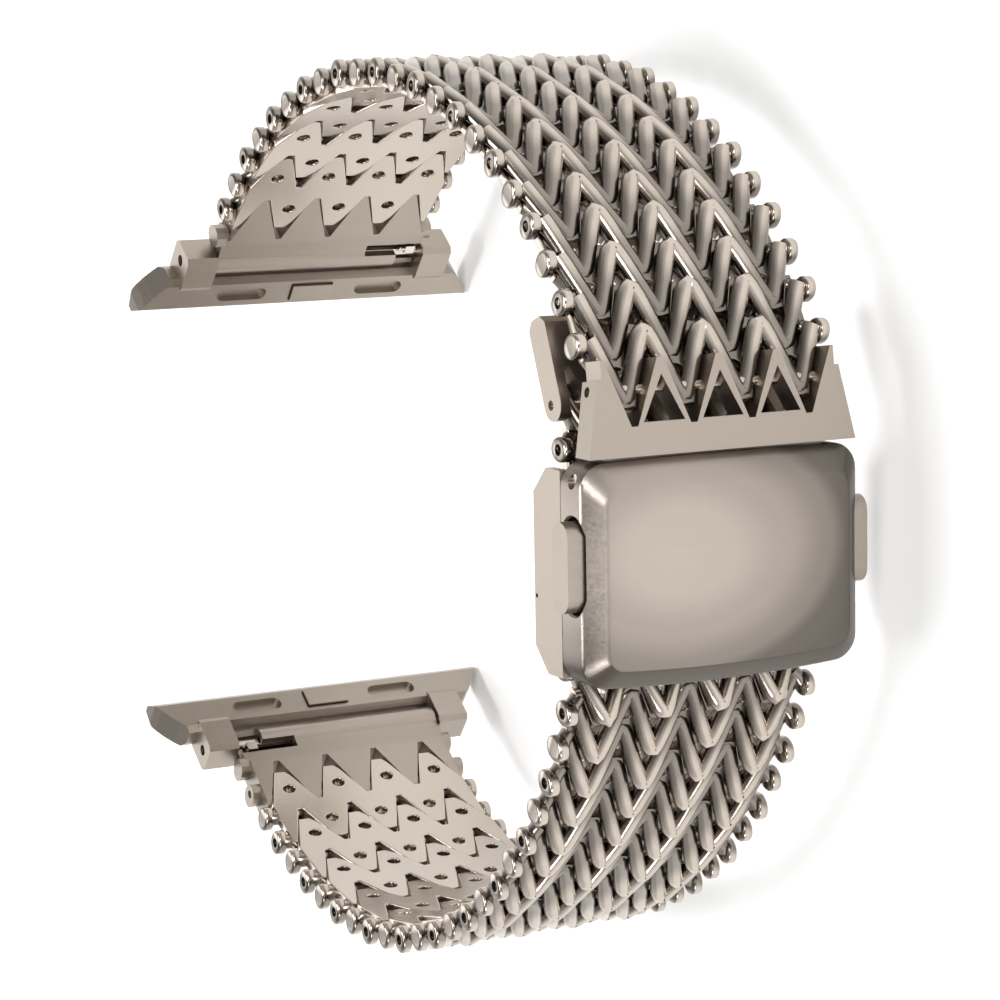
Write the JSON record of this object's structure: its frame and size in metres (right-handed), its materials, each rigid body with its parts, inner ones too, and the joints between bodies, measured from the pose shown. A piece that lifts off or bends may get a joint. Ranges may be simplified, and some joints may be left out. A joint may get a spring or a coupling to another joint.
{
  "type": "magnetic mesh watch band",
  "caption": "Woven metal watch band with V-shaped mesh links, a push-button box clasp and slide-in end adapters.",
  "frame": {"origin": "centre of the clasp's front face", "axes": "+X out of the clasp's front face, +Y towards the upper strap, +Z across the band; the band stands on its side edge"},
  "size_m": [0.0726, 0.0713, 0.0322],
  "materials": {
    "satin_steel": "satin champagne-toned steel",
    "bright_steel": "bright polished pins, bars and springs",
    "dark_magnet": "dull plated magnet"
  },
  "bodies": {
    "clasp": {"clasp_cover": "satin_steel", "clasp_base": "satin_steel", "cover_magnets": "dark_magnet", "base_magnets": "dark_magnet", "end_piece_hinge_pin": "bright_steel", "lever_pins": "bright_steel", "button_spring_left": "bright_steel", "button_spring_right": "bright_steel", "channel_link_01": "satin_steel", "channel_link_02": "satin_steel", "channel_link_03": "satin_steel"},
    "button_left": {"button_left": "satin_steel"},
    "button_right": {"button_right": "satin_steel"},
    "lock_lever": {"lock_lever": "satin_steel"},
    "tail_link": {"tail_link": "satin_steel"},
    "tail_cap": {"tail_cap": "satin_steel", "tail_cap_pin": "bright_steel", "tail_magnet": "dark_magnet"},
    "upper_end_piece": {"upper_end_piece": "satin_steel", "upper_mesh_pin": "bright_steel"},
    "upper_link_01": {"upper_link_01": "satin_steel"},
    "upper_link_02": {"upper_link_02": "satin_steel"},
    "upper_link_03": {"upper_link_03": "satin_steel"},
    "upper_link_04": {"upper_link_04": "satin_steel"},
    "upper_link_05": {"upper_link_05": "satin_steel"},
    "upper_link_06": {"upper_link_06": "satin_steel"},
    "upper_link_07": {"upper_link_07": "satin_steel"},
    "upper_link_08": {"upper_link_08": "satin_steel"},
    "upper_link_09": {"upper_link_09": "satin_steel"},
    "upper_link_10": {"upper_link_10": "satin_steel"},
    "upper_link_11": {"upper_link_11": "satin_steel"},
    "lower_link_01": {"lower_link_01": "satin_steel"},
    "lower_link_02": {"lower_link_02": "satin_steel"},
    "lower_link_03": {"lower_link_03": "satin_steel"},
    "lower_link_04": {"lower_link_04": "satin_steel"},
    "lower_link_05": {"lower_link_05": "satin_steel"},
    "lower_link_06": {"lower_link_06": "satin_steel"},
    "lower_link_07": {"lower_link_07": "satin_steel"},
    "lower_link_08": {"lower_link_08": "satin_steel"},
    "lower_link_09": {"lower_link_09": "satin_steel"},
    "lower_link_10": {"lower_link_10": "satin_steel"},
    "lower_link_11": {"lower_link_11": "satin_steel"},
    "upper_end_bar": {"upper_end_bar": "satin_steel", "upper_spring_bar": "bright_steel", "upper_release_spring": "bright_steel"},
    "upper_release_pin": {"upper_release_pin": "bright_steel"},
    "upper_adapter": {"upper_adapter": "satin_steel", "upper_catch_spring": "bright_steel"},
    "upper_lock_catch": {"upper_lock_catch": "bright_steel"},
    "lower_end_bar": {"lower_end_bar": "satin_steel", "lower_spring_bar": "bright_steel", "lower_release_spring": "bright_steel", "lower_mesh_pin": "bright_steel"},
    "lower_release_pin": {"lower_release_pin": "bright_steel"},
    "lower_adapter": {"lower_adapter": "satin_steel", "lower_catch_spring": "bright_steel"},
    "lower_lock_catch": {"lower_lock_catch": "bright_steel"}
  },
  "joints": [
    {"name": "end_piece_hinge", "type": "hinge", "parent": "clasp", "child": "upper_end_piece", "pos_m": [-0.00275, 0.0066, 0], "axis": [0, 0, 1], "range_deg": [-6, 0]},
    {"name": "upper_root", "type": "hinge", "parent": "upper_end_piece", "child": "upper_link_01", "pos_m": [-0.0027, 0.0126, 0], "axis": [0, 0, 1], "range_deg": [-24, 1.5]},
    {"name": "upper_flex", "type": "hinge", "parent": "upper_link_01", "child": "upper_link_02", "pos_m": [-0.00614, 0.01833, 0], "axis": [0, 0, 1], "range_deg": [-9.9, 1.2]},
    {"name": "upper_flex_03", "type": "hinge", "parent": "upper_link_02", "child": "upper_link_03", "pos_m": [-0.01051, 0.02337, 0], "axis": [0, 0, 1], "range_deg": [-9.9, 1.2]},
    {"name": "upper_flex_04", "type": "hinge", "parent": "upper_link_03", "child": "upper_link_04", "pos_m": [-0.01569, 0.0276, 0], "axis": [0, 0, 1], "range_deg": [-9.9, 1.2]},
    {"name": "upper_flex_05", "type": "hinge", "parent": "upper_link_04", "child": "upper_link_05", "pos_m": [-0.02152, 0.03087, 0], "axis": [0, 0, 1], "range_deg": [-9.9, 1.2]},
    {"name": "upper_flex_06", "type": "hinge", "parent": "upper_link_05", "child": "upper_link_06", "pos_m": [-0.02782, 0.03308, 0], "axis": [0, 0, 1], "range_deg": [-9.9, 1.2]},
    {"name": "upper_flex_07", "type": "hinge", "parent": "upper_link_06", "child": "upper_link_07", "pos_m": [-0.03441, 0.03419, 0], "axis": [0, 0, 1], "range_deg": [-9.9, 1.2]},
    {"name": "upper_flex_08", "type": "hinge", "parent": "upper_link_07", "child": "upper_link_08", "pos_m": [-0.04109, 0.03414, 0], "axis": [0, 0, 1], "range_deg": [-9.9, 1.2]},
    {"name": "upper_flex_09", "type": "hinge", "parent": "upper_link_08", "child": "upper_link_09", "pos_m": [-0.04766, 0.03295, 0], "axis": [0, 0, 1], "range_deg": [-9.9, 1.2]},
    {"name": "upper_flex_10", "type": "hinge", "parent": "upper_link_09", "child": "upper_link_10", "pos_m": [-0.05393, 0.03064, 0], "axis": [0, 0, 1], "range_deg": [-9.9, 1.2]},
    {"name": "upper_flex_11", "type": "hinge", "parent": "upper_link_10", "child": "upper_link_11", "pos_m": [-0.05971, 0.02729, 0], "axis": [0, 0, 1], "range_deg": [-9.9, 1.2]},
    {"name": "upper_flex_12", "type": "hinge", "parent": "upper_link_11", "child": "upper_end_bar", "pos_m": [-0.06482, 0.023, 0], "axis": [0, 0, 1], "range_deg": [-9.9, 1.2]},
    {"name": "lower_root", "type": "hinge", "parent": "clasp", "child": "lower_link_01", "pos_m": [-0.00645, -0.01, 0], "axis": [0, 0, -1], "range_deg": [-26.5, 1.4]},
    {"name": "lower_flex", "type": "hinge", "parent": "lower_link_01", "child": "lower_link_02", "pos_m": [-0.00918, -0.01548, 0], "axis": [0, 0, -1], "range_deg": [-9.25, 1.2]},
    {"name": "lower_flex_03", "type": "hinge", "parent": "lower_link_02", "child": "lower_link_03", "pos_m": [-0.01276, -0.02044, 0], "axis": [0, 0, -1], "range_deg": [-9.25, 1.2]},
    {"name": "lower_flex_04", "type": "hinge", "parent": "lower_link_03", "child": "lower_link_04", "pos_m": [-0.01708, -0.02477, 0], "axis": [0, 0, -1], "range_deg": [-9.25, 1.2]},
    {"name": "lower_flex_05", "type": "hinge", "parent": "lower_link_04", "child": "lower_link_05", "pos_m": [-0.02205, -0.02835, 0], "axis": [0, 0, -1], "range_deg": [-9.25, 1.2]},
    {"name": "lower_flex_06", "type": "hinge", "parent": "lower_link_05", "child": "lower_link_06", "pos_m": [-0.02753, -0.03108, 0], "axis": [0, 0, -1], "range_deg": [-9.25, 1.2]},
    {"name": "lower_flex_07", "type": "hinge", "parent": "lower_link_06", "child": "lower_link_07", "pos_m": [-0.03337, -0.03289, 0], "axis": [0, 0, -1], "range_deg": [-9.25, 1.2]},
    {"name": "lower_flex_08", "type": "hinge", "parent": "lower_link_07", "child": "lower_link_08", "pos_m": [-0.03943, -0.03374, 0], "axis": [0, 0, -1], "range_deg": [-9.25, 1.2]},
    {"name": "lower_flex_09", "type": "hinge", "parent": "lower_link_08", "child": "lower_link_09", "pos_m": [-0.04555, -0.03361, 0], "axis": [0, 0, -1], "range_deg": [-9.25, 1.2]},
    {"name": "lower_flex_10", "type": "hinge", "parent": "lower_link_09", "child": "lower_link_10", "pos_m": [-0.05157, -0.0325, 0], "axis": [0, 0, -1], "range_deg": [-9.25, 1.2]},
    {"name": "lower_flex_11", "type": "hinge", "parent": "lower_link_10", "child": "lower_link_11", "pos_m": [-0.05733, -0.03043, 0], "axis": [0, 0, -1], "range_deg": [-9.25, 1.2]},
    {"name": "lower_flex_12", "type": "hinge", "parent": "lower_link_11", "child": "lower_end_bar", "pos_m": [-0.06268, -0.02746, 0], "axis": [0, 0, -1], "range_deg": [-9.25, 1.2]},
    {"name": "tail_hinge", "type": "hinge", "parent": "clasp", "child": "tail_link", "pos_m": [-0.00645, 0.00836, 0], "axis": [0, 0, 1], "range_deg": [0, 15]},
    {"name": "tail_cap_hinge", "type": "hinge", "parent": "tail_link", "child": "tail_cap", "pos_m": [-0.00709, 0.01135, 0], "axis": [0, 0, 1], "range_deg": [0, 15]},
    {"name": "lock_lever_hinge", "type": "hinge", "parent": "clasp", "child": "lock_lever", "pos_m": [-0.00783, -0.0019, 0], "axis": [0, 0, 1], "range_deg": [0, 70]},
    {"name": "button_left_press", "type": "slide", "parent": "clasp", "child": "button_left", "axis": [0, 0, -1], "range_m": [0, 0.0008], "stiffness_N_per_m": 2000, "springref_m": -0.001, "deforming": ["button_spring_left"]},
    {"name": "button_right_press", "type": "slide", "parent": "clasp", "child": "button_right", "axis": [0, 0, 1], "range_m": [0, 0.0008], "stiffness_N_per_m": 2000, "springref_m": -0.001, "deforming": ["button_spring_right"]},
    {"name": "upper_adapter_hinge", "type": "hinge", "parent": "upper_end_bar", "child": "upper_adapter", "pos_m": [-0.06869, 0.0188, 0], "axis": [0, 0, 1], "range_deg": [-30, 30]},
    {"name": "upper_release", "type": "slide", "parent": "upper_end_bar", "child": "upper_release_pin", "axis": [0, 0, 1], "range_m": [0, 0.0019], "stiffness_N_per_m": 400, "springref_m": -0.001, "deforming": ["upper_release_spring"]},
    {"name": "upper_catch_press", "type": "slide", "parent": "upper_adapter", "child": "upper_lock_catch", "axis": [-0.7649, 0.6441, 0], "range_m": [0, 0.0003], "stiffness_N_per_m": 400, "springref_m": -0.001},
    {"name": "lower_adapter_hinge", "type": "hinge", "parent": "lower_end_bar", "child": "lower_adapter", "pos_m": [-0.06731, -0.02413, 0], "axis": [0, 0, 1], "range_deg": [-30, 30]},
    {"name": "lower_release", "type": "slide", "parent": "lower_end_bar", "child": "lower_release_pin", "axis": [0, 0, -1], "range_m": [0, 0.0019], "stiffness_N_per_m": 400, "springref_m": -0.001, "deforming": ["lower_release_spring"]},
    {"name": "lower_catch_press", "type": "slide", "parent": "lower_adapter", "child": "lower_lock_catch", "axis": [-0.6191, -0.7853, 0], "range_m": [0, 0.0003], "stiffness_N_per_m": 400, "springref_m": -0.001}
  ],
  "couplings": [
    {"joint": "upper_flex_03", "follows": "upper_flex", "ratio": 1},
    {"joint": "upper_flex_04", "follows": "upper_flex", "ratio": 1},
    {"joint": "upper_flex_05", "follows": "upper_flex", "ratio": 1},
    {"joint": "upper_flex_06", "follows": "upper_flex", "ratio": 1},
    {"joint": "upper_flex_07", "follows": "upper_flex", "ratio": 1},
    {"joint": "upper_flex_08", "follows": "upper_flex", "ratio": 1},
    {"joint": "upper_flex_09", "follows": "upper_flex", "ratio": 1},
    {"joint": "upper_flex_10", "follows": "upper_flex", "ratio": 1},
    {"joint": "upper_flex_11", "follows": "upper_flex", "ratio": 1},
    {"joint": "upper_flex_12", "follows": "upper_flex", "ratio": 1},
    {"joint": "lower_flex_03", "follows": "lower_flex", "ratio": 1},
    {"joint": "lower_flex_04", "follows": "lower_flex", "ratio": 1},
    {"joint": "lower_flex_05", "follows": "lower_flex", "ratio": 1},
    {"joint": "lower_flex_06", "follows": "lower_flex", "ratio": 1},
    {"joint": "lower_flex_07", "follows": "lower_flex", "ratio": 1},
    {"joint": "lower_flex_08", "follows": "lower_flex", "ratio": 1},
    {"joint": "lower_flex_09", "follows": "lower_flex", "ratio": 1},
    {"joint": "lower_flex_10", "follows": "lower_flex", "ratio": 1},
    {"joint": "lower_flex_11", "follows": "lower_flex", "ratio": 1},
    {"joint": "lower_flex_12", "follows": "lower_flex", "ratio": 1}
  ]
}
